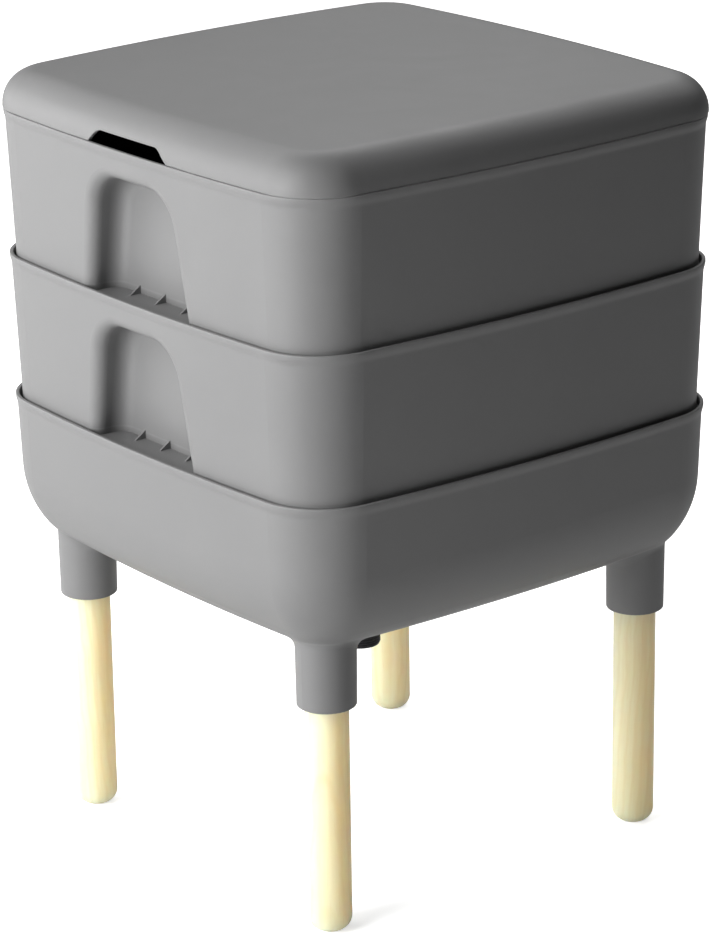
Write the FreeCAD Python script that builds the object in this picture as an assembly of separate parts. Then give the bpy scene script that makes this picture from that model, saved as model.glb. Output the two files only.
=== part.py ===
import FreeCAD, Part
import math
import os
from FreeCAD import Vector

# Wormery: two stacked trays over a tank on four wooden legs, with a lid and a drain tap.
# Millimetres. The origin is on the floor under the middle, +Z is up and -Y is the front.

# Plan of the stack, a square with gently bowed sides and round corners
tray_half_width = 205.0
tray_corner_radius = 54.0
side_bow_radius = 2000.0
tank_flare = 0.4
tank_corner_radius = 55.0
lid_step_in = 1.0
lid_corner_radius = 48.0

# Heights
leg_exposed = 177.0
socket_drop = 45.0
tank_height = 119.2
tray_pitch = 110.5
lid_height = 28.8

# Moulded walls
wall = 2.6
rim_wall = 3.0
draft_angle = 2.1
edge_round = 0.8
bead_height = 1.5
bead_taper = 7.5
bead_proud = 1.0
tank_wall_round = 80.0
tank_foot_round = 42.0
tank_round_change = 38.0
tank_floor_fall = 4.0
tank_floor_fall_radius = 140.0

# How one tray nests in the next
seat_depth = 7.2
seat_width = 5.2
collar_height = 10.5
collar_clearance = 1.0
pocket_headroom = 3.3
tray_floor = 3.0

# Support ribs inside each rim, which carry the tray above
rib_thickness = 2.4
rib_length = 46.0
rib_spacing = 55.0
ribs_per_side = 5

# Drain holes in the tray floors
drain_hole_radius = 4.0
drain_hole_pitch = 54.0
drain_holes_per_row = 6

# Hand pockets in the left and right walls of each tray
pocket_depth = 31.5
pocket_top_half_width = 43.5
pocket_bottom_half_width = 58.5
pocket_corner_radius = 28.0
pocket_back_radius = 12.0
pocket_mouth_radius = 9.0
pocket_inner_radius = 5.0
gusset_length = 9.3
gusset_rise = 6.2
gusset_thickness = 1.6
gusset_spacing = 31.0

# Lid
lid_wall = 2.8
lid_edge_radius = 26.0
lid_crown_radius = 22000.0
lid_rib_headroom = 1.0
lid_rib_wall = 2.2
lid_rib_clearance = 0.8
notch_height = 10.0
notch_bottom_half_width = 47.5
notch_top_half_width = 36.0
notch_corner_radius = 12.0

# Legs and their sockets
leg_radius = 16.0
leg_inset = 56.6
leg_foot_round = 11.0
leg_fit = 0.15
socket_radius = 21.8
socket_draft = 0.7
socket_depth = 42.0
socket_blend = 8.0

# Drain sump in the middle of the tank floor
sump_radius = 30.0
sump_drop = 24.0
sump_floor = 4.0
sump_wall = 3.0

# Tap
shank_radius = 10.4
shank_fit = 0.3
tap_bore_radius = 6.5
washer_radius = 16.0
washer_thickness = 2.0
nut_across_flats = 28.0
nut_height = 6.0
shank_stand = 1.0
flange_radius = 16.0
flange_thickness = 4.0
barrel_radius = 10.4
barrel_length = 22.0
barrel_lip = 0.9
barrel_lip_height = 2.5
disc_thickness = 2.7
disc_seal_thickness = 1.5
window_inner_radius = 1.8
window_outer_radius = 5.6
window_angle = 80.0
collar_radius = 15.0
collar_gap = 0.3
collar_fit = 0.25
collar_below_disc = 23.0
collar_skin = 1.8
spout_wall = 1.6
collar_foot_round = 4.5
grip_ring_pitch = 4.5
grip_ring_depth = 0.7
grip_groove_length = 2.1
grip_rings = 6

# Levels and places that follow from the sizes above
tank_bottom_z = leg_exposed + socket_drop
tank_rim_z = tank_bottom_z + tank_height
lower_rim_z = tank_rim_z + tray_pitch
upper_rim_z = lower_rim_z + tray_pitch
lid_top_z = upper_rim_z + lid_height
tank_half_width = tray_half_width + tank_flare
lid_half_width = tray_half_width - lid_step_in
draft = math.tan(math.radians(draft_angle))
leg_axis = tank_half_width - leg_inset
skirt_depth = tray_pitch + seat_depth
tray_depth = skirt_depth + collar_height
seat_reach = bead_proud + seat_depth * draft + wall + seat_width
collar_inset = seat_reach + collar_clearance
floor_edge_inset = collar_inset + 2 * wall
pocket_top_depth = seat_depth + collar_height + pocket_headroom + wall
past = 5.0  # how far a cutting tool runs past what it cuts
touch = 0.25  # how near counts as touching, when edges are picked
UP = Vector(0, 0, 1)
CENTRE = Vector(0, 0, 0)


def quarter_turns(shape):
    """The shape and its three copies turned about the middle by 90 degrees."""
    copies = []
    for turn in range(4):
        copy = shape.copy()
        copy.rotate(CENTRE, UP, 90 * turn)
        copies.append(copy)
    return copies


def fuse_all(shapes):
    return shapes[0].multiFuse(shapes[1:]).removeSplitter()


def corner_centre(half_width, corner_radius):
    """Distance along x and y of a corner arc's centre, where it meets the side arcs smoothly."""
    far = side_bow_radius - half_width
    reach = side_bow_radius - corner_radius
    return (math.sqrt(2 * reach ** 2 - far ** 2) - far) / 2


def wall_inset(depth):
    """How far the drafted outer wall stands in from the rim, at a depth below the rim."""
    return bead_proud + depth * draft


def outline_face(half_width, corner_radius, inset, z):
    """Flat face with the plan of the stack, stepped in by inset."""
    far = side_bow_radius - half_width
    corner = corner_centre(half_width, corner_radius)
    swing = math.atan2(corner, corner + far)
    side = side_bow_radius - inset
    turn = corner_radius - inset
    start = Vector(side * math.cos(swing) - far, -side * math.sin(swing), z)
    middle = Vector(side - far, 0, z)
    end = Vector(side * math.cos(swing) - far, side * math.sin(swing), z)
    reach = corner + turn * math.sqrt(0.5)
    next_start = Vector(end.y, end.x, z)
    side_arc = Part.Arc(start, middle, end).toShape()
    corner_arc = Part.Arc(end, Vector(reach, reach, z), next_start).toShape()
    edges = []
    for pair in zip(quarter_turns(side_arc), quarter_turns(corner_arc)):
        edges.extend(pair)
    return Part.Face(Part.Wire(edges))


def block(half_width, corner_radius, inset, low, high):
    """Upright solid with the plan of the stack, from one height to another."""
    return outline_face(half_width, corner_radius, inset, low).extrude(UP * (high - low))


def section_wire(steps, radius):
    """Closed wire in the XZ plane. A step is (inset, z), or an arc's middle and end."""
    points = [Vector(radius - step[-2], 0, step[-1]) for step in steps]
    edges = []
    for index, step in enumerate(steps):
        start = points[index - 1]
        if len(step) == 4:
            middle = Vector(radius - step[0], 0, step[1])
            edges.append(Part.Arc(start, middle, points[index]).toShape())
        else:
            edges.append(Part.LineSegment(start, points[index]).toShape())
    return Part.Wire(edges)


def ring(half_width, corner_radius, steps):
    """Wall round the plan of the stack: one section turned about the centre of every arc."""
    far = side_bow_radius - half_width
    corner = corner_centre(half_width, corner_radius)
    swing = math.degrees(math.atan2(corner, corner + far))
    side = Part.Face(section_wire(steps, side_bow_radius))
    side.rotate(CENTRE, UP, -swing)
    side = side.revolve(CENTRE, UP, 2 * swing)
    side.translate(Vector(-far, 0, 0))
    turn = Part.Face(section_wire(steps, corner_radius))
    turn.rotate(CENTRE, UP, swing)
    turn = turn.revolve(CENTRE, UP, 90 - 2 * swing)
    turn.translate(Vector(corner, corner, 0))
    return fuse_all(quarter_turns(side) + quarter_turns(turn))


def cylinder(radius, low, high, x=0.0, y=0.0):
    return Part.makeCylinder(radius, high - low, Vector(x, y, low))


def tube(outer, inner, low, high):
    return cylinder(outer, low, high).cut(cylinder(inner, low, high))


def turned(points):
    """Solid turned about the Z axis from (radius, z) points."""
    corners = [Vector(radius, 0, z) for radius, z in points]
    face = Part.Face(Part.makePolygon(corners + corners[:1]))
    return face.revolve(CENTRE, UP, 360)


def round_step(corner, centre, end):
    """Quarter round in place of a square corner, as the step that ends at end."""
    share = math.sqrt(0.5)
    middle = tuple(near + (far - near) * share for near, far in zip(centre, corner))
    return middle + end


def foot_steps(inset, z):
    """Rounded lower corner of a wall's outside, on the way down and in."""
    low = z + edge_round
    deep = inset + edge_round
    return [(inset, low), round_step((inset, z), (deep, low), (deep, z))]


def ogee_steps(start, end):
    """Two arcs that leave start and reach end upright, for the soft lower side of a bead."""
    across = (end[0] - start[0]) / 2
    down = (start[1] - end[1]) / 2
    half = math.atan2(across, down)
    radius = down / math.sin(2 * half)
    bulge = radius * (1 - math.cos(half))
    drop = radius * math.sin(half)
    first = (start[0] + bulge, start[1] - drop, start[0] + across, start[1] - down)
    return [first, (end[0] - bulge, end[1] + drop) + end]


def rim_steps(rim):
    """The rolled rim's outside, from its flat top to the wall below the bead."""
    below = bead_height + bead_taper
    low = rim - edge_round
    steps = [(edge_round, rim), round_step((0, rim), (edge_round, low), (0, low))]
    steps.append((0, rim - bead_height))
    return steps + ogee_steps((0, rim - bead_height), (wall_inset(below), rim - below))


def inner_rim_steps(rim):
    """The inside of the rim, up from the thicker wall, where the tray above drops in."""
    low = rim - edge_round
    steps = [(wall_inset(seat_depth) + wall, rim - seat_depth), (rim_wall, rim - seat_depth), (rim_wall, low)]
    steps.append(round_step((rim_wall, rim), (rim_wall - edge_round, low), (rim_wall - edge_round, rim)))
    return steps


def support_ribs(rim, flare):
    """Upright ribs round the inside of a rim, with their tops where the tray above sits."""
    top = rim - seat_depth
    rooted = wall / 2 - flare
    steps = [(wall_inset(seat_depth) + rooted, top)]
    steps.append((wall_inset(seat_depth + rib_length) + rooted, top - rib_length))
    steps.append((seat_reach, top - rib_length + seat_width))
    steps.append((seat_reach, top))
    band = ring(tray_half_width, tray_corner_radius, steps)
    cutters = []
    for index in range(ribs_per_side):
        offset = (index - (ribs_per_side - 1) / 2) * rib_spacing - rib_thickness / 2
        box = Part.makeBox(tray_half_width, rib_thickness, rib_length + past)
        box.translate(Vector(0, offset, top - rib_length))
        cutters.append(box)
    upright = cutters[0].multiFuse(cutters[1:])
    return band.common(Part.makeCompound(quarter_turns(upright)))


def pocket_block(rim, grow, bottom_z):
    """The space of a hand pocket in the -X wall, grown by a wall thickness for its shell."""
    top = rim - pocket_top_depth + grow
    lean = (pocket_bottom_half_width - pocket_top_half_width) / (skirt_depth - pocket_top_depth)
    shelf_z = rim - skirt_depth
    top_half = pocket_top_half_width + grow
    low_half = top_half + (top - shelf_z) * lean
    back_x = -(tray_half_width - pocket_depth - grow)
    front_x = -(tray_half_width + past)
    corners = [(-low_half, shelf_z), (-top_half, top), (top_half, top), (low_half, shelf_z)]
    if bottom_z < shelf_z:
        corners = [(-low_half, bottom_z)] + corners + [(low_half, bottom_z)]
    points = [Vector(back_x, y, z) for y, z in corners]
    face = Part.Face(Part.makePolygon(points + points[:1]))
    solid = face.extrude(Vector(front_x - back_x, 0, 0))
    roof = [edge for edge in solid.Edges if is_roof_corner(edge, top)]
    solid = solid.makeFillet(pocket_corner_radius + grow, roof)
    rear = [edge for edge in solid.Edges if is_rear_edge(edge, back_x, bottom_z, shelf_z)]
    return solid.makeFillet(pocket_back_radius + grow, rear)


def is_roof_corner(edge, top):
    ends = [vertex.Point for vertex in edge.Vertexes]
    return min(end.z for end in ends) > top - touch and abs(ends[0].x - ends[1].x) > past


def is_rear_edge(edge, back_x, bottom_z, shelf_z):
    box = edge.BoundBox
    at_back = box.XMax - box.XMin < touch and abs(box.XMin - back_x) < touch
    return at_back and box.ZMax > min(bottom_z, shelf_z) + touch


def tray_profile(rim):
    """Section of a tray's wall: bead, skirt, shelf, nesting collar and the floor's edge."""
    shelf_z = rim - skirt_depth
    floor_z = rim - tray_depth
    steps = rim_steps(rim) + foot_steps(wall_inset(skirt_depth), shelf_z)
    steps.append((collar_inset, shelf_z))
    steps += foot_steps(collar_inset + collar_height * draft, floor_z)
    steps.append((floor_edge_inset, floor_z))
    steps.append((floor_edge_inset, floor_z + tray_floor))
    steps.append((collar_inset + wall, floor_z + tray_floor))
    steps.append((collar_inset + wall, shelf_z + wall))
    steps.append((wall_inset(skirt_depth - wall) + wall, shelf_z + wall))
    return steps + inner_rim_steps(rim)


def tray(rim):
    """One worm tray, with its perforated floor, support ribs and two hand pockets."""
    floor_z = rim - tray_depth
    shell = ring(tray_half_width, tray_corner_radius, tray_profile(rim))
    lap = floor_edge_inset - wall / 2
    floor = block(tray_half_width, tray_corner_radius, lap, floor_z, floor_z + tray_floor)
    inside = tray_inside(rim)
    slab = Part.makeBox(2 * tray_half_width, 2 * tray_half_width, wall)
    slab.translate(Vector(-tray_half_width, -tray_half_width, rim - skirt_depth))
    pockets = both_sides(pocket_block(rim, 0, floor_z - past).cut(slab))
    jackets = both_sides(pocket_block(rim, wall, floor_z - past).common(inside))
    shell = fuse_all([shell, floor] + jackets)
    shell = round_pockets(shell, rim, wall, pocket_inner_radius)
    for pocket in pockets:
        shell = shell.cut(pocket)
    shell = round_pockets(shell, rim, 0, pocket_mouth_radius)
    ribs = support_ribs(rim, 0)
    for clear in both_sides(pocket_block(rim, pocket_mouth_radius / 2, floor_z - past)):
        ribs = ribs.cut(clear)
    gussets = []
    for y in (-gusset_spacing, 0, gusset_spacing):
        gussets += both_sides(gusset(rim, y))
    return fuse_all([shell, ribs] + gussets).cut(drain_holes(floor_z))


def both_sides(shape):
    """The shape and its copy turned half way round, for the other side of the stack."""
    copy = shape.copy()
    copy.rotate(CENTRE, UP, 180)
    return [shape, copy]


def tray_inside(rim):
    """The tray filled to the middle of its walls, which trims the pockets' shells."""
    shelf_z = rim - skirt_depth
    floor_z = rim - tray_depth
    top_z = rim - seat_depth
    middle = tray_corner_radius - wall
    steps = [(middle, top_z), (wall_inset(seat_depth) + wall / 2, top_z)]
    steps.append((wall_inset(skirt_depth) + wall / 2, shelf_z))
    steps.append((collar_inset + wall / 2, shelf_z))
    steps.append((collar_inset + collar_height * draft + wall / 2, floor_z))
    steps.append((middle, floor_z))
    edge = ring(tray_half_width, tray_corner_radius, steps)
    core = block(tray_half_width, tray_corner_radius, middle - wall, floor_z, top_z)
    return fuse_all([edge, core])


def gusset(rim, y):
    """Small triangular web that stiffens the pocket's back wall on its shelf."""
    back_x = -(tray_half_width - pocket_depth)
    base_z = rim - skirt_depth + wall
    points = [Vector(back_x + wall / 2, y - gusset_thickness / 2, base_z - wall / 2)]
    points.append(Vector(back_x - gusset_length, points[0].y, base_z - wall / 2))
    points.append(Vector(back_x - gusset_length, points[0].y, base_z))
    points.append(Vector(back_x, points[0].y, base_z + gusset_rise))
    points.append(Vector(back_x + wall / 2, points[0].y, base_z + gusset_rise))
    face = Part.Face(Part.makePolygon(points + points[:1]))
    return face.extrude(Vector(0, gusset_thickness, 0))


def round_pockets(shell, rim, skin, radius):
    """Rounds the edges that the pockets make with the wall, on its outside or at a skin inside it."""
    far = side_bow_radius - tray_half_width
    top = rim - seat_depth - collar_height
    shelf_top = rim - skirt_depth + wall
    edges = []
    for edge in shell.Edges:
        ends = [vertex.Point for vertex in edge.Vertexes]
        low = min(end.z for end in ends)
        high = max(end.z for end in ends)
        level = low > shelf_top - touch and shelf_top + wall < high < top
        across = max(abs(end.y) for end in ends) < pocket_bottom_half_width + 2 * wall
        insets = [side_bow_radius - math.hypot(abs(end.x) + far, end.y) - skin for end in ends]
        on_wall = all(abs(inset - wall_inset(rim - end.z)) < touch for inset, end in zip(insets, ends))
        if level and across and on_wall:
            edges.append(edge)
    return shell.makeFillet(radius, edges)


def drain_holes(floor_z):
    holes = []
    first = -(drain_holes_per_row - 1) / 2 * drain_hole_pitch
    for row in range(drain_holes_per_row):
        for column in range(drain_holes_per_row):
            x = first + column * drain_hole_pitch
            y = first + row * drain_hole_pitch
            holes.append(cylinder(drain_hole_radius, floor_z - past, floor_z + tray_floor + past, x, y))
    return Part.makeCompound(holes)


def tank_steps(skin):
    """Section of the tank's side and its two-radius round to the floor, at a skin inside it."""
    lean = math.radians(draft_angle)
    change = math.radians(tank_round_change)
    foot_z = tank_bottom_z + tank_foot_round
    wall_z = foot_z + (tank_wall_round - tank_foot_round) * math.sin(change)
    start_z = wall_z - tank_wall_round * math.sin(lean)
    wall_centre = wall_inset(tank_rim_z - start_z) + tank_wall_round * math.cos(lean)
    foot_centre = wall_centre - (tank_wall_round - tank_foot_round) * math.cos(change)
    steps = []
    for angle in (lean, (lean + change) / 2, change):
        reach = tank_wall_round - skin
        steps.append((wall_centre - reach * math.cos(angle), wall_z - reach * math.sin(angle)))
    start, middle, meet = steps
    half = (change + math.pi / 2) / 2
    reach = tank_foot_round - skin
    low = (foot_centre - reach * math.cos(half), foot_z - reach * math.sin(half))
    return [start, middle + meet, low + (foot_centre, tank_bottom_z + skin)]


def tank_form(top_steps, skin, top):
    """Filled tank: its section from the middle out to the rim, down and in to the floor."""
    steps = tank_steps(skin)
    core_inset = steps[-1][-2]
    edge = ring(tank_half_width, tank_corner_radius, [(core_inset, top)] + top_steps + steps)
    core = block(tank_half_width, tank_corner_radius, core_inset, tank_bottom_z + skin, top)
    return fuse_all([edge, core])


def tank_mouth_steps(top):
    """The inside of the tank's rim, down from a level above it, with its top edge rounded off."""
    low = tank_rim_z - edge_round
    lip = rim_wall - edge_round
    seat_z = tank_rim_z - seat_depth
    steps = [(lip, top), (lip, tank_rim_z), round_step((rim_wall, tank_rim_z), (lip, low), (rim_wall, low))]
    return steps + [(rim_wall, seat_z), (wall_inset(seat_depth) + wall, seat_z)]


def tank():
    """Tank with its drafted wall, deep rounded bottom, sump and four leg sockets."""
    sump_z = tank_bottom_z - sump_drop
    floor_top = tank_bottom_z + wall
    top = tank_rim_z + past
    outside = tank_form(rim_steps(tank_rim_z), 0, tank_rim_z)
    inside = tank_form(tank_mouth_steps(top), wall, top)
    body = fuse_all([outside] + quarter_turns(socket_outside()))
    body = body.makeFillet(socket_blend, [edge for edge in body.Edges if is_socket_root(edge)])
    sump = cylinder(sump_radius, sump_z, floor_top)
    body = fuse_all([body, dish(tank_bottom_z), sump])
    body = body.cut(inside).cut(dish(floor_top))
    body = body.cut(cylinder(sump_radius - sump_wall, sump_z + sump_floor, floor_top))
    body = body.cut(cylinder(shank_radius + shank_fit, sump_z - past, floor_top))
    leg_top = leg_exposed + socket_depth
    hole = cylinder(leg_radius + leg_fit, leg_exposed - past, leg_top, leg_axis, leg_axis)
    body = body.cut(Part.makeCompound(quarter_turns(hole)))
    return fuse_all([body, support_ribs(tank_rim_z, tank_flare)])


def dish(z):
    """Shallow cone under a level, which makes the tank floor fall towards the sump."""
    low = z - tank_floor_fall
    return turned([(0, z), (tank_floor_fall_radius, z), (sump_radius, low), (0, low)])


def socket_outside():
    """Outside of a leg socket, from its lower end up into the tank's rounding."""
    length = socket_drop + tank_foot_round / 2
    cone = Part.makeCone(socket_radius, socket_radius + socket_draft, length,
                         Vector(leg_axis, leg_axis, leg_exposed))
    foot = [edge for edge in cone.Edges if edge.BoundBox.ZMax < leg_exposed + touch]
    return cone.makeFillet(edge_round, foot)


def is_socket_root(edge):
    """Whether an edge runs round a leg socket where it leaves the tank's underside."""
    points = [vertex.Point for vertex in edge.Vertexes]
    points.append(edge.valueAt((edge.FirstParameter + edge.LastParameter) / 2))
    for point in points:
        away = math.hypot(abs(point.x) - leg_axis, abs(point.y) - leg_axis)
        if away > socket_radius + wall or away < socket_radius - wall or point.z < tank_bottom_z - wall:
            return False
    return max(point.z for point in points) < tank_bottom_z + tank_foot_round


def leg():
    """Turned wooden leg with a rounded foot, standing in its socket."""
    post = cylinder(leg_radius, 0, leg_exposed + socket_depth, leg_axis, leg_axis)
    foot = [edge for edge in post.Edges if edge.BoundBox.ZMax < past]
    return post.makeFillet(leg_foot_round, foot)


def lid_form(inset):
    """Filled form of the lid, stepped in by inset: upright sides, big soft edge, low crown."""
    start = lid_top_z - 2 * lid_edge_radius
    prism = block(lid_half_width, lid_corner_radius, inset, start, lid_top_z + past)
    centre = Vector(0, 0, lid_top_z - lid_crown_radius)
    form = prism.common(Part.makeSphere(lid_crown_radius - inset, centre))
    rounded = form.makeFillet(lid_edge_radius - inset, [edge for edge in form.Edges if on_lid_edge(edge)])
    low = upper_rim_z - inset
    return rounded.common(block(lid_half_width, lid_corner_radius, -past, low, lid_top_z + past))


def on_lid_edge(edge):
    """Whether an edge runs round the top of the lid, and not down a side or up to the middle."""
    ends = [vertex.Point for vertex in edge.Vertexes]
    high = edge.BoundBox.ZMin > lid_top_z - lid_edge_radius
    return high and min(max(abs(end.x), abs(end.y)) for end in ends) > lid_half_width / 2


def lid_inset(point):
    """How far a point in or near one of the lid's sides stands in from its plan."""
    along, across = sorted((abs(point.x), abs(point.y)))
    return side_bow_radius - math.hypot(across + side_bow_radius - lid_half_width, along)


def on_lid_foot(edge):
    """Whether an edge runs round the outside of the lid's lower end."""
    outside = max(lid_inset(vertex.Point) for vertex in edge.Vertexes) < lid_wall / 2
    return outside and edge.BoundBox.ZMax < upper_rim_z + touch


def on_notch(edge):
    """Whether an edge runs round a finger notch on the outside of the lid."""
    box = edge.BoundBox
    outside = max(lid_inset(vertex.Point) for vertex in edge.Vertexes) < lid_wall / 2
    beside = max(-box.YMin, box.YMax) < notch_bottom_half_width + touch
    in_side = min(abs(box.XMin), abs(box.XMax)) > lid_half_width / 2
    level = edge_round + touch / 2 < box.ZMax - upper_rim_z < notch_height + touch
    return outside and beside and in_side and level


def lid():
    """Lid with a locating rib that drops inside the top tray, and two finger notches."""
    shell = lid_form(0).cut(lid_form(lid_wall))
    low = upper_rim_z - seat_depth + lid_rib_headroom
    outer = rim_wall + lid_rib_clearance
    rib = block(tray_half_width, tray_corner_radius, outer, low, lid_top_z)
    rib = rib.cut(block(tray_half_width, tray_corner_radius, outer + lid_rib_wall, low, lid_top_z))
    gap = Part.makeBox(2 * lid_half_width, 2 * notch_bottom_half_width, lid_height)
    gap.translate(Vector(-lid_half_width, -notch_bottom_half_width, low))
    under = block(lid_half_width, lid_corner_radius, 0, low, upper_rim_z)
    rib = rib.cut(gap).common(fuse_all([lid_form(0), under]))
    shell = shell.makeFillet(edge_round, [edge for edge in shell.Edges if on_lid_foot(edge)])
    shell = fuse_all([shell, rib]).cut(notches())
    return shell.makeFillet(edge_round, [edge for edge in shell.Edges if on_notch(edge)])


def notches():
    """Finger notch cut through the lower edge of the lid's left and right sides."""
    low = upper_rim_z - past
    high = upper_rim_z + notch_height
    slope = (notch_bottom_half_width - notch_top_half_width) / notch_height
    low_half = notch_bottom_half_width + past * slope
    corners = [(-low_half, low), (-notch_top_half_width, high), (notch_top_half_width, high), (low_half, low)]
    reach = lid_half_width + past
    points = [Vector(-reach, y, z) for y, z in corners]
    bar = Part.Face(Part.makePolygon(points + points[:1])).extrude(Vector(2 * reach, 0, 0))
    ends = [edge for edge in bar.Edges if edge.BoundBox.ZMin > high - touch and edge.BoundBox.YLength < touch]
    return bar.makeFillet(notch_corner_radius, ends)


def windows(low, high, turn):
    """Two opposite flow windows, as sectors of a ring."""
    shapes = []
    for start in (turn, turn + 180):
        sector = Part.makeCylinder(window_outer_radius, high - low, Vector(0, 0, low), UP, window_angle)
        sector = sector.cut(cylinder(window_inner_radius, low, high))
        sector.rotate(CENTRE, UP, start - window_angle / 2)
        shapes.append(sector)
    return Part.makeCompound(shapes)


# Tap levels, from the sump's floor down
sump_under_z = tank_bottom_z - sump_drop
sump_top_z = sump_under_z + sump_floor
flange_top_z = sump_under_z - washer_thickness
flange_z = flange_top_z - flange_thickness
barrel_z = flange_z - barrel_length
nut_z = sump_top_z + washer_thickness
shank_top_z = nut_z + nut_height + shank_stand
seal_z = barrel_z - disc_seal_thickness
collar_disc_z = seal_z - disc_thickness
collar_z = collar_disc_z - collar_below_disc
collar_top_z = flange_z - collar_gap
lip_top_z = barrel_z + barrel_lip_height


def tap_body():
    """Threaded shank, flange and barrel, closed at the bottom by a disc with two windows."""
    points = [(0, barrel_z), (barrel_radius + barrel_lip, barrel_z), (barrel_radius + barrel_lip, lip_top_z)]
    points += [(barrel_radius, lip_top_z), (barrel_radius, flange_z), (flange_radius, flange_z)]
    points += [(flange_radius, flange_top_z), (shank_radius, flange_top_z)]
    points += [(shank_radius, shank_top_z), (tap_bore_radius, shank_top_z)]
    points += [(tap_bore_radius, barrel_z + disc_thickness), (0, barrel_z + disc_thickness)]
    body = turned(points)
    low = barrel_z - past
    high = barrel_z + disc_thickness + past
    return body.cut(windows(low, high, 0))


def tap_disc_seal():
    """Rubber disc between the fixed and the turning windows."""
    disc = cylinder(barrel_radius, seal_z, barrel_z)
    return disc.cut(windows(seal_z - past, barrel_z + past, 0))


def tap_washer(low):
    return tube(washer_radius, shank_radius + shank_fit, low, low + washer_thickness)


def tap_nut():
    """Hexagonal nut that clamps the tap from inside the tank."""
    corner = nut_across_flats / math.sqrt(3)
    points = [Vector(corner * math.cos(math.radians(60 * k)), corner * math.sin(math.radians(60 * k)), nut_z)
              for k in range(6)]
    prism = Part.Face(Part.makePolygon(points + points[:1])).extrude(UP * nut_height)
    return prism.cut(cylinder(shank_radius + shank_fit / 2, nut_z - past, nut_z + nut_height + past))


def tap_collar():
    """Ringed collar that snaps over the barrel's lip and turns a disc with two windows."""
    body = cylinder(collar_radius, collar_z, collar_top_z)
    foot = [edge for edge in body.Edges if edge.BoundBox.ZMax < collar_z + touch]
    body = body.makeFillet(collar_foot_round, foot)
    body = body.cut(cylinder(barrel_radius + collar_fit, seal_z, collar_top_z + past))
    body = body.cut(cylinder(barrel_radius + barrel_lip + collar_fit, seal_z, lip_top_z + collar_fit))
    spout_radius = tap_bore_radius + collar_fit
    body = body.cut(cylinder(spout_radius, collar_z - past, collar_disc_z))
    hollow = tube(collar_radius - collar_skin - grip_ring_depth, spout_radius + spout_wall,
                  collar_z - past, collar_disc_z - disc_thickness)
    body = body.cut(hollow)
    grooves = []
    for index in range(grip_rings):
        z = collar_z + collar_foot_round + index * grip_ring_pitch
        outer = collar_radius + grip_ring_depth
        points = [(outer, z - grip_ring_depth), (outer, z + grip_groove_length)]
        points += [(collar_radius - grip_ring_depth, z + grip_ring_depth)]
        grooves.append(turned(points))
    body = body.cut(Part.makeCompound(grooves))
    return body.cut(windows(collar_disc_z - past, seal_z + past, 90))


def build():
    nodes = {
        "lid": lid(),
        "upper_tray": tray(upper_rim_z),
        "lower_tray": tray(lower_rim_z),
        "base_tank": tank(),
        "tap_body": tap_body(),
        "tap_nut": tap_nut(),
        "tap_upper_washer": tap_washer(sump_top_z),
        "tap_lower_washer": tap_washer(flange_top_z),
        "tap_disc_seal": tap_disc_seal(),
        "tap_collar": tap_collar(),
    }
    names = ["leg_back_right", "leg_back_left", "leg_front_left", "leg_front_right"]
    for name, post in zip(names, quarter_turns(leg())):
        nodes[name] = post
    return nodes


os.makedirs("parts", exist_ok=True)
for node_name, solid in build().items():
    solid.exportStep("parts/" + node_name + ".step")
    print(node_name, solid.isValid(), len(solid.Solids), round(solid.Volume / 1000, 1), "cm3")
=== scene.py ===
import math
import bmesh
import bpy
from mathutils import Matrix, Vector


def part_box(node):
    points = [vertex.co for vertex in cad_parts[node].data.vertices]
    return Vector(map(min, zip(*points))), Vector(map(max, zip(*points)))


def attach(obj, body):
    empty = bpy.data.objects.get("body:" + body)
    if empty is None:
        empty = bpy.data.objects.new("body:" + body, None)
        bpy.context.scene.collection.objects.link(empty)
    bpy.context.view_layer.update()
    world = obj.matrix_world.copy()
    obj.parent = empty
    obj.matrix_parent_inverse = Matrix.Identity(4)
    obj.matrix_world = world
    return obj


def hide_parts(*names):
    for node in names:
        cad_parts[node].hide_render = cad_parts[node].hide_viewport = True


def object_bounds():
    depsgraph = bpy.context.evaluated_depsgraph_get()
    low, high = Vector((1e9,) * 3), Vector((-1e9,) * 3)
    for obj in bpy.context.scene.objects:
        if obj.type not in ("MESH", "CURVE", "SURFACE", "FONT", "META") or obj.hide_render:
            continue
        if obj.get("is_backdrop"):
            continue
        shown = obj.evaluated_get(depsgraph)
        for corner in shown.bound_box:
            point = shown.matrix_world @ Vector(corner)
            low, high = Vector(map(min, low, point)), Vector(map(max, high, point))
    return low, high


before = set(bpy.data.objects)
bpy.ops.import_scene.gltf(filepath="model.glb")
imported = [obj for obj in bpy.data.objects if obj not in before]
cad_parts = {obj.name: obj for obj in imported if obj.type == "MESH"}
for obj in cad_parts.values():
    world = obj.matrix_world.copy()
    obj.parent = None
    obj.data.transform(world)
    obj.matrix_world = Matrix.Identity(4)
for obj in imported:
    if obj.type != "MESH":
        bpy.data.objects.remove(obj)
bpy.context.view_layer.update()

# Camera: a long lens almost three metres away, a little above the lid and to the left of the
# front, so that the left and the front sides show about equally and the lid's top as a wedge.
azimuth = math.radians(-38.19)
elevation = math.radians(19.22)
roll = math.radians(-0.867)
distance = 2.8814
side_step = -0.00345
aim_height = 0.27387
focal_pixels = 3798.9
view_width, view_height = 712, 936
centre_column, centre_row = 353.48, 478.45
sensor = 36.0
nearest, farthest = 0.1, 50

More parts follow.
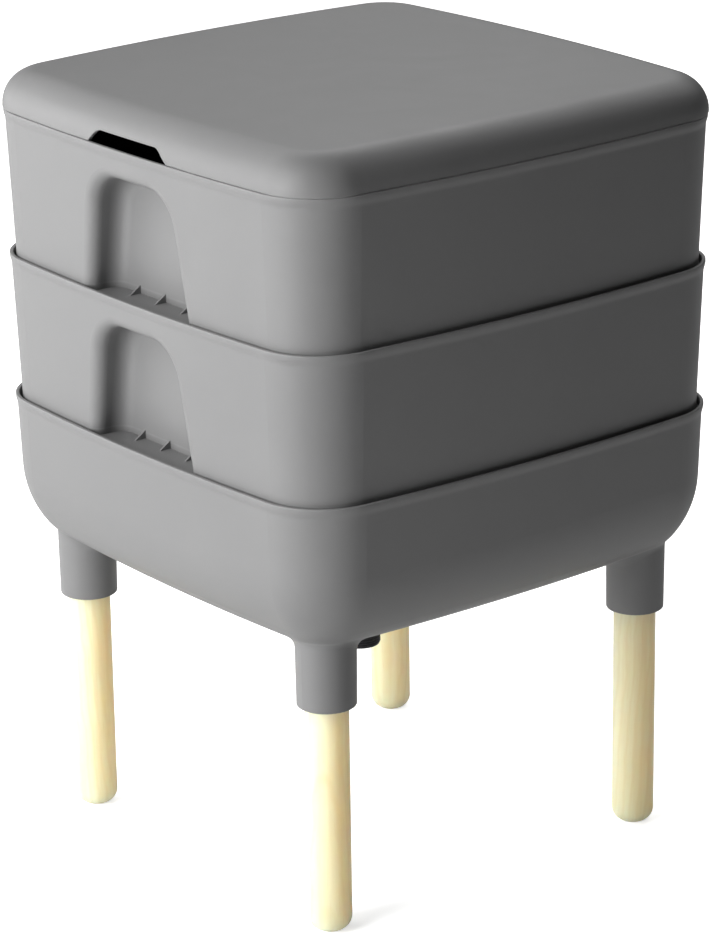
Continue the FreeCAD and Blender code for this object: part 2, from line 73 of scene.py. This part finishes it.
back = Vector((math.sin(azimuth) * math.cos(elevation),
               -math.cos(azimuth) * math.cos(elevation), math.sin(elevation)))
right = Vector((math.cos(azimuth), math.sin(azimuth), 0))
up = back.cross(right)
rolled_right = right * math.cos(roll) + up * math.sin(roll)
rolled_up = up * math.cos(roll) - right * math.sin(roll)
place = Vector((0, 0, aim_height)) + back * distance + right * side_step
turn = Matrix((rolled_right, rolled_up, back)).transposed().to_4x4()
bpy.ops.object.camera_add(location=place)
camera = bpy.context.object
camera.matrix_world = Matrix.Translation(place) @ turn
camera.data.sensor_width = sensor
camera.data.lens = focal_pixels / view_height * sensor
camera.data.shift_x = (view_width / 2 - centre_column) / view_height
camera.data.shift_y = (centre_row - view_height / 2) / view_height
camera.data.clip_start, camera.data.clip_end = nearest, farthest
bpy.context.scene.camera = camera
bpy.context.scene.view_settings.view_transform = "Standard"


# Studio: a seamless white floor and soft round lamps at the left, behind and high on the right,
# so the left side is bright, the front is in shade and the floor throws light up from below.
def add_node(tree, kind, **settings):
    """New shader node. A setting names one of its inputs by number or by name, or a property."""
    node = tree.nodes.new("ShaderNode" + kind)
    for name, value in settings.items():
        if name.startswith("in_"):
            node.inputs[int(name[3:])].default_value = value
        elif hasattr(node, name):
            setattr(node, name, value)
        else:
            node.inputs[name.replace("_", " ")].default_value = value
    return node


def new_material(name):
    """Material with only its output, ready for nodes."""
    material = bpy.data.materials.new(name)
    material.use_nodes = True
    material.node_tree.nodes.clear()
    return material, add_node(material.node_tree, "OutputMaterial")


lamp_distance = 2.6
lamp_size = 1.5
lamp_aim = Vector((0, 0, 0.3))
lamps = {  # degrees round from the right-hand side, degrees up, and power in watts
    "left": (180, 12, 75),
    "left_high": (180, 45, 32),
    "back_left": (150, 12, 7),
    "back_left_high": (135, 45, 6),
    "back": (120, 12, 31),
    "back_middle": (90, 12, 2),
    "back_middle_high": (90, 45, 10),
    "back_right_high": (45, 45, 18),
    "right_high": (0, 45, 13),
}
for name, (around, high, power) in lamps.items():
    around, high = math.radians(around), math.radians(high)
    level = math.cos(high)
    towards = Vector((math.cos(around) * level, math.sin(around) * level, math.sin(high)))
    bpy.ops.object.light_add(type="AREA", location=lamp_aim + towards * lamp_distance)
    lamp = bpy.context.object
    lamp.name = "lamp_" + name
    lamp.data.shape = "DISK"
    lamp.data.size = lamp_size
    lamp.data.energy = power
    lamp.visible_camera = False
    lamp.rotation_euler = towards.to_track_quat("Z", "Y").to_euler()

world = bpy.data.worlds.new("studio")
bpy.context.scene.world = world
world.use_nodes = True
world.node_tree.nodes.clear()
seen = add_node(world.node_tree, "LightPath")
backdrop = add_node(world.node_tree, "Background", Color=(1, 1, 1, 1))
world_output = add_node(world.node_tree, "OutputWorld")
world.node_tree.links.new(seen.outputs["Is Camera Ray"], backdrop.inputs["Strength"])
world.node_tree.links.new(backdrop.outputs[0], world_output.inputs["Surface"])

floor_size = 30
floor_colour = (0.93, 0.93, 0.93, 1)
floor_seen_colour = (0.85, 0.85, 0.85, 1)
glow_near, glow_far = 0.65, 1.0  # the floor glows more away from the object, so its shadow stays
near_ends, far_starts = 0.5, 1.3
bpy.ops.mesh.primitive_plane_add(size=floor_size)
floor = bpy.context.object
floor.name = "floor"
floor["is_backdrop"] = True
floor_white, output = new_material("floor_white")
tree = floor_white.node_tree
where = add_node(tree, "TexCoord")
reach = add_node(tree, "VectorMath", operation="LENGTH")
glow_level = add_node(tree, "MapRange", From_Min=near_ends, From_Max=far_starts,
                      To_Min=glow_near, To_Max=glow_far)
seen = add_node(tree, "LightPath")
plain = add_node(tree, "BsdfDiffuse", Color=floor_colour)
lit = add_node(tree, "BsdfDiffuse", Color=floor_seen_colour)
glow = add_node(tree, "Emission", Color=(1, 1, 1, 1))
shown = add_node(tree, "AddShader")
choice = add_node(tree, "MixShader")
tree.links.new(where.outputs["Object"], reach.inputs[0])
tree.links.new(reach.outputs["Value"], glow_level.inputs["Value"])
tree.links.new(glow_level.outputs["Result"], glow.inputs["Strength"])
tree.links.new(lit.outputs[0], shown.inputs[0])
tree.links.new(glow.outputs[0], shown.inputs[1])
tree.links.new(seen.outputs["Is Camera Ray"], choice.inputs[0])
tree.links.new(plain.outputs[0], choice.inputs[1])
tree.links.new(shown.outputs[0], choice.inputs[2])
tree.links.new(choice.outputs[0], output.inputs["Surface"])
floor.data.materials.append(floor_white)


# Legs: four rods of pale wood turned on a lathe, with rounded feet and a small chamfer at the
# top, sanded and lacquered. Each is pushed up into the socket under a corner of the tank.
def select_edges(piece, chosen):
    """In edit mode, selects only the edges with both ends where the test holds."""
    bpy.ops.mesh.select_mode(type="EDGE")
    bpy.ops.mesh.select_all(action="DESELECT")
    shape = bmesh.from_edit_mesh(piece.data)
    for edge in shape.edges:
        edge.select_set(all(chosen(vertex.co) for vertex in edge.verts))
    bmesh.update_edit_mesh(piece.data)


leg_sides = 96
foot_round = 0.011
foot_round_steps = 12
round_profile = 0.5
top_chamfer = 0.0012
touch = 1e-5
smooth_angle = math.radians(40)
leg_low, leg_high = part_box("leg_front_left")
leg_middle = (leg_low + leg_high) / 2
bpy.ops.object.select_all(action="DESELECT")
bpy.ops.mesh.primitive_cylinder_add(vertices=leg_sides, radius=(leg_high.x - leg_low.x) / 2,
                                    depth=leg_high.z - leg_low.z, location=leg_middle)
turned_leg = bpy.context.object
bpy.ops.object.transform_apply(location=True, rotation=True, scale=True)
bpy.ops.object.mode_set(mode="EDIT")
select_edges(turned_leg, lambda corner: corner.z < leg_low.z + touch)
bpy.ops.mesh.bevel(offset=foot_round, segments=foot_round_steps, profile=round_profile,
                   affect="EDGES")
select_edges(turned_leg, lambda corner: corner.z > leg_high.z - touch)
bpy.ops.mesh.bevel(offset=top_chamfer, segments=1, affect="EDGES")
bpy.ops.object.mode_set(mode="OBJECT")
bpy.ops.object.shade_smooth_by_angle(angle=smooth_angle)

wood_colour = (0.68, 0.66, 0.465, 1)
wood_streak_colour = (0.63, 0.565, 0.345, 1)
wood_ring_colour = (0.64, 0.585, 0.37, 1)
wood_pore_colour = (0.62, 0.5, 0.3, 1)
streak_stretch = (1, 1, 0.035)
streak_scale, streak_detail, streak_rough = 120, 4, 0.6
streak_from, streak_to, streak_most = 0.42, 0.72, 0.75
pore_stretch = (1, 1, 0.06)
pore_scale, pore_detail = 900, 2
pore_from, pore_to, pore_most = 0.62, 0.78, 0.5
ring_scale, ring_bend, ring_detail, ring_detail_scale = 55, 3.5, 2, 0.6
ring_from, ring_most = 0.55, 0.6
lacquer_gloss, lacquer_dull = 0.42, 0.56
lacquer_specular, lacquer_coat, lacquer_coat_roughness = 0.35, 0.04, 0.35
grain_strength, grain_relief = 0.25, 0.0002
glow_depth = 0.07  # how far light spreads inside the wood, in metres, furthest for red
glow_spread = (1.0, 0.66, 0.45)
pith_offset = (0.03, 0.012, 0)
pith_lean = (math.radians(3), math.radians(-2), 0)
pale_wood, output = new_material("pale_wood")
tree = pale_wood.node_tree
place = add_node(tree, "TexCoord")
along = add_node(tree, "Mapping", Scale=streak_stretch)
streaks = add_node(tree, "TexNoise", Scale=streak_scale, Detail=streak_detail, Roughness=streak_rough)
streak_mask = add_node(tree, "MapRange", From_Min=streak_from, From_Max=streak_to, To_Max=streak_most)
folded = add_node(tree, "VectorMath", operation="ABSOLUTE")
pith = add_node(tree, "Mapping", Location=pith_offset, Rotation=pith_lean)
rings = add_node(tree, "TexWave", wave_type="RINGS", rings_direction="Z", Scale=ring_scale,
                 Distortion=ring_bend, Detail=ring_detail, Detail_Scale=ring_detail_scale)
ring_mask = add_node(tree, "MapRange", From_Min=ring_from, To_Max=ring_most)
fine = add_node(tree, "Mapping", Scale=pore_stretch)
pores = add_node(tree, "TexNoise", Scale=pore_scale, Detail=pore_detail)
pore_mask = add_node(tree, "MapRange", From_Min=pore_from, From_Max=pore_to, To_Max=pore_most)
streaked = add_node(tree, "Mix", data_type="RGBA", in_6=wood_colour, in_7=wood_streak_colour)
ringed = add_node(tree, "Mix", data_type="RGBA", in_7=wood_ring_colour)
pored = add_node(tree, "Mix", data_type="RGBA", in_7=wood_pore_colour)
sheen_level = add_node(tree, "MapRange", To_Min=lacquer_gloss, To_Max=lacquer_dull)
grain_height = add_node(tree, "Math", operation="SUBTRACT")
grain_bump = add_node(tree, "Bump", Strength=grain_strength, Distance=grain_relief)
lacquered = add_node(tree, "BsdfPrincipled", Subsurface_Weight=1.0, Subsurface_Radius=glow_spread,
                     Subsurface_Scale=glow_depth, Specular_IOR_Level=lacquer_specular,
                     Coat_Weight=lacquer_coat, Coat_Roughness=lacquer_coat_roughness)
tree.links.new(place.outputs["Object"], along.inputs["Vector"])
tree.links.new(along.outputs[0], streaks.inputs["Vector"])
tree.links.new(streaks.outputs["Fac"], streak_mask.inputs["Value"])
tree.links.new(place.outputs["Object"], folded.inputs[0])
tree.links.new(folded.outputs[0], pith.inputs["Vector"])
tree.links.new(pith.outputs[0], rings.inputs["Vector"])
tree.links.new(rings.outputs["Fac"], ring_mask.inputs["Value"])
tree.links.new(place.outputs["Object"], fine.inputs["Vector"])
tree.links.new(fine.outputs[0], pores.inputs["Vector"])
tree.links.new(pores.outputs["Fac"], pore_mask.inputs["Value"])
tree.links.new(streak_mask.outputs["Result"], streaked.inputs[0])
tree.links.new(streaked.outputs[2], ringed.inputs[6])
tree.links.new(ring_mask.outputs["Result"], ringed.inputs[0])
tree.links.new(ringed.outputs[2], pored.inputs[6])
tree.links.new(pore_mask.outputs["Result"], pored.inputs[0])
tree.links.new(pored.outputs[2], lacquered.inputs["Base Color"])
tree.links.new(streaks.outputs["Fac"], sheen_level.inputs["Value"])
tree.links.new(sheen_level.outputs["Result"], lacquered.inputs["Roughness"])
tree.links.new(rings.outputs["Fac"], grain_height.inputs[0])
tree.links.new(pore_mask.outputs["Result"], grain_height.inputs[1])
tree.links.new(grain_height.outputs[0], grain_bump.inputs["Height"])
tree.links.new(grain_bump.outputs[0], lacquered.inputs["Normal"])
tree.links.new(lacquered.outputs[0], output.inputs["Surface"])
turned_leg.data.materials.append(pale_wood)

for node in ("leg_front_left", "leg_front_right", "leg_back_left", "leg_back_right"):
    bpy.ops.object.select_all(action="DESELECT")
    turned_leg.select_set(True)
    bpy.context.view_layer.objects.active = turned_leg
    bpy.ops.object.duplicate()
    leg = bpy.context.object
    leg.name = "turned_" + node
    bpy.ops.transform.translate(value=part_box(node)[0] - leg_low)
    bpy.ops.object.transform_apply(location=True, rotation=True, scale=True)
    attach(leg, "base")
    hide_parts(node)
bpy.data.objects.remove(turned_leg)


# Tank: one grey polypropylene moulding with a fine textured skin, a rolled rim, four leg sockets
# and a sloped floor that drains to the tap. At each rim of the stack a thin, patchy lighter band is a
# painted highlight.
def dress(names, material):
    """Gives CAD nodes a material."""
    for name in names:
        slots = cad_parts[name].data.materials
        slots.clear()
        slots.append(material)


pebble_softness = 0.6
speckle_detail, speckle_rough = 3, 0.6
flow_detail, flow_rough, flow_bend = 3, 0.55, 0.6
speckle_share = 0.3
moulded_grain = bpy.data.node_groups.new("moulded_grain", "ShaderNodeTree")
moulded_grain.interface.new_socket("Vector", in_out="INPUT", socket_type="NodeSocketVector")
moulded_grain.interface.new_socket("Pebble Scale", in_out="INPUT", socket_type="NodeSocketFloat")
moulded_grain.interface.new_socket("Flow Scale", in_out="INPUT", socket_type="NodeSocketFloat")
for name in ("Height", "Tone", "Dullness"):
    moulded_grain.interface.new_socket(name, in_out="OUTPUT", socket_type="NodeSocketFloat")
given = moulded_grain.nodes.new("NodeGroupInput")
made = moulded_grain.nodes.new("NodeGroupOutput")
pebbles = add_node(moulded_grain, "TexVoronoi", feature="SMOOTH_F1", Smoothness=pebble_softness)
speckle = add_node(moulded_grain, "TexNoise", Detail=speckle_detail, Roughness=speckle_rough)
flow = add_node(moulded_grain, "TexNoise", Detail=flow_detail, Roughness=flow_rough,
                Distortion=flow_bend)
relief = add_node(moulded_grain, "Math", operation="ADD")
mottle = add_node(moulded_grain, "Mix", data_type="FLOAT", Factor=speckle_share)
for texture in (pebbles, speckle, flow):
    moulded_grain.links.new(given.outputs["Vector"], texture.inputs["Vector"])
for texture in (pebbles, speckle):
    moulded_grain.links.new(given.outputs["Pebble Scale"], texture.inputs["Scale"])
moulded_grain.links.new(given.outputs["Flow Scale"], flow.inputs["Scale"])
moulded_grain.links.new(pebbles.outputs["Distance"], relief.inputs[0])
moulded_grain.links.new(speckle.outputs["Fac"], relief.inputs[1])
moulded_grain.links.new(relief.outputs[0], made.inputs["Height"])
moulded_grain.links.new(flow.outputs["Fac"], mottle.inputs["A"])
moulded_grain.links.new(speckle.outputs["Fac"], mottle.inputs["B"])
moulded_grain.links.new(mottle.outputs[0], made.inputs["Tone"])
moulded_grain.links.new(flow.outputs["Fac"], made.inputs["Dullness"])

grain_low, grain_high = 0.3, 0.7  # where the noise of the grain mostly lies
grain_step = 0.0001


def new_grained(name, colours, scales, roughness, relief, specular):
    """Material of a moulded piece. Its grain drives the colour, the roughness and the relief.

    colours and roughness are pairs, for the grain's low and high places, and scales are those of
    its pebbles and its flow marks."""
    material, output = new_material(name)
    tree = material.node_tree
    place = add_node(tree, "TexCoord")
    grain = add_node(tree, "Group", node_tree=moulded_grain)
    grain.inputs["Pebble Scale"].default_value = scales[0]
    grain.inputs["Flow Scale"].default_value = scales[1]
    tone = add_node(tree, "MapRange", From_Min=grain_low, From_Max=grain_high)
    colour = add_node(tree, "Mix", data_type="RGBA", in_6=colours[0], in_7=colours[1])
    gloss = add_node(tree, "MapRange", From_Min=grain_low, From_Max=grain_high,
                     To_Min=roughness[0], To_Max=roughness[1])
    skin = add_node(tree, "Bump", Strength=relief, Distance=grain_step)
    plastic = add_node(tree, "BsdfPrincipled", Specular_IOR_Level=specular)
    tree.links.new(place.outputs["Object"], grain.inputs["Vector"])
    tree.links.new(grain.outputs["Tone"], tone.inputs["Value"])
    tree.links.new(tone.outputs["Result"], colour.inputs[0])
    tree.links.new(colour.outputs[2], plastic.inputs["Base Color"])
    tree.links.new(grain.outputs["Dullness"], gloss.inputs["Value"])
    tree.links.new(gloss.outputs["Result"], plastic.inputs["Roughness"])
    tree.links.new(grain.outputs["Height"], skin.inputs["Height"])
    tree.links.new(skin.outputs[0], plastic.inputs["Normal"])
    tree.links.new(plastic.outputs[0], output.inputs["Surface"])
    return material, plastic


tank_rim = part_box("base_tank")[1].z
stack_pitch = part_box("upper_tray")[1].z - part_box("lower_tray")[1].z
grey_colours = ((0.143, 0.143, 0.144, 1), (0.157, 0.157, 0.157, 1))
grey_scales = (1900, 11)
grey_roughness = (0.48, 0.57)
# Painted highlight: a lighter colour in a thin band at the height of each rim of the stack, broken
# into patches by noise, stands in for the light caught by the rounded rims.
painted_rim_highlight_colour = (0.2, 0.2, 0.2, 1)
painted_highlight_width = 0.0012
patch_scale, patch_detail = 70, 2
grey_plastic, plastic = new_grained("grey_plastic", grey_colours, grey_scales, grey_roughness,
                                    relief=0.3, specular=0.4)
tree = grey_plastic.node_tree
place = add_node(tree, "TexCoord")
axes = add_node(tree, "SeparateXYZ")
above_rim = add_node(tree, "Math", operation="SUBTRACT", in_1=tank_rim)
nearest_rim = add_node(tree, "Math", operation="PINGPONG", in_1=stack_pitch / 2)
painted_highlight_band = add_node(tree, "MapRange", From_Min=painted_highlight_width, From_Max=0)
patchy = add_node(tree, "TexNoise", Scale=patch_scale, Detail=patch_detail)
painted_highlight_mask = add_node(tree, "Math", operation="MULTIPLY")
rim_highlighted = add_node(tree, "Mix", data_type="RGBA", in_7=painted_rim_highlight_colour)
plain_colour = plastic.inputs["Base Color"].links[0].from_socket
tree.links.new(place.outputs["Object"], axes.inputs[0])
tree.links.new(axes.outputs["Z"], above_rim.inputs[0])
tree.links.new(above_rim.outputs[0], nearest_rim.inputs[0])
tree.links.new(nearest_rim.outputs[0], painted_highlight_band.inputs["Value"])
tree.links.new(place.outputs["Object"], patchy.inputs["Vector"])
tree.links.new(painted_highlight_band.outputs["Result"], painted_highlight_mask.inputs[0])
tree.links.new(patchy.outputs["Fac"], painted_highlight_mask.inputs[1])
tree.links.new(painted_highlight_mask.outputs[0], rim_highlighted.inputs[0])
tree.links.new(plain_colour, rim_highlighted.inputs[6])
tree.links.new(rim_highlighted.outputs[2], plastic.inputs["Base Color"])
dress(["base_tank"], grey_plastic)

# Tap: a black nylon body and nut clamped through the tank's floor, and a ringed collar that is
# turned by hand. All three are moulded with a finer skin than the tank's.
black_colours = ((0.006, 0.006, 0.008, 1), (0.011, 0.011, 0.014, 1))
black_scales = (2600, 40)
black_roughness = (0.38, 0.5)
black_plastic, _ = new_grained("black_plastic", black_colours, black_scales, black_roughness,
                               relief=0.2, specular=0.3)
dress(["tap_body", "tap_nut", "tap_collar"], black_plastic)

# Grip of the tap: a finely ringed sleeve over the collar, drawn in at its foot, of the same black
# nylon. It is moulded on the collar and turns with it.
grip_sides = 72
grip_inside = 0.014
grip_foot_drop = 0.0024
grip_top_gap = 0.0004
foot_outline = [(0.0137, 0.0009), (0.0139, 0.0002), (0.0142, 0), (0.0146, 0.0002), (0.0149, 0.0008)]
first_ring = 0.0016
ring_pitch = 0.002
ring_crest, ring_valley = 0.01545, 0.01495
ring_crest_height = 0.0008
ring_slope_height = 0.0003
collar_low, collar_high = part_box("tap_collar")
grip_foot = collar_low.z - grip_foot_drop
grip_top = collar_high.z - grip_top_gap
outline = [(radius, grip_foot + height) for radius, height in foot_outline]
outline.append((ring_valley, grip_foot + first_ring))
ring_count = int((grip_top - outline[-1][1]) / ring_pitch)
for ring in range(ring_count):
    ring_z = grip_foot + first_ring + ring_slope_height + ring * ring_pitch
    outline.append((ring_crest, ring_z))
    outline.append((ring_crest, ring_z + ring_crest_height))
    outline.append((ring_valley, ring_z + ring_crest_height + ring_slope_height))
    outline.append((ring_valley, ring_z + ring_pitch - ring_slope_height))
outline.append((grip_inside, outline[-1][1]))
bpy.ops.object.select_all(action="DESELECT")
start_radius, start_z = outline[0]
bpy.ops.mesh.primitive_circle_add(vertices=grip_sides, radius=start_radius,
                                  location=(0, 0, start_z))
grip = bpy.context.object
grip.name = "ringed_grip"
bpy.ops.object.transform_apply(location=True, rotation=True, scale=True)
bpy.ops.object.mode_set(mode="EDIT")
bpy.ops.mesh.select_all(action="SELECT")
for (old_radius, old_z), (radius, z) in zip(outline, outline[1:] + outline[:1]):
    bpy.ops.mesh.extrude_region_move(TRANSFORM_OT_translate={"value": (0, 0, z - old_z)})
    share = radius / old_radius
    bpy.ops.transform.resize(value=(share, share, 1), center_override=(0, 0, z))
bpy.ops.mesh.select_all(action="SELECT")
bpy.ops.mesh.remove_doubles(threshold=touch)
bpy.ops.mesh.normals_make_consistent(inside=False)
bpy.ops.object.mode_set(mode="OBJECT")
bpy.ops.object.shade_smooth_by_angle(angle=smooth_angle)
grip.data.materials.append(black_plastic)
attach(grip, "tap_collar")

# Washers and disc seal: soft black rubber cut from sheet, dull and slightly dusty, squeezed above
# and below the tank's floor and between the tap's two discs.
rubber_colours = ((0.017, 0.017, 0.017, 1), (0.03, 0.03, 0.03, 1))
rubber_scales = (1500, 90)
rubber_roughness = (0.7, 0.85)
seal_rubber, _ = new_grained("seal_rubber", rubber_colours, rubber_scales, rubber_roughness,
                             relief=0.5, specular=0.3)
dress(["tap_upper_washer", "tap_lower_washer", "tap_disc_seal"], seal_rubber)

# Worm trays: two copies of one moulding of the tank's plastic, with a perforated floor and a hand
# pocket in each side. Each drops into the rim below and rests on the ribs there.
dress(["lower_tray", "upper_tray"], grey_plastic)

# Lid: moulded of the same plastic, with a low crown, a big soft edge and a finger notch in each
# side. It lies loose on the upper tray's rim.
dress(["lid"], grey_plastic)

low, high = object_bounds()
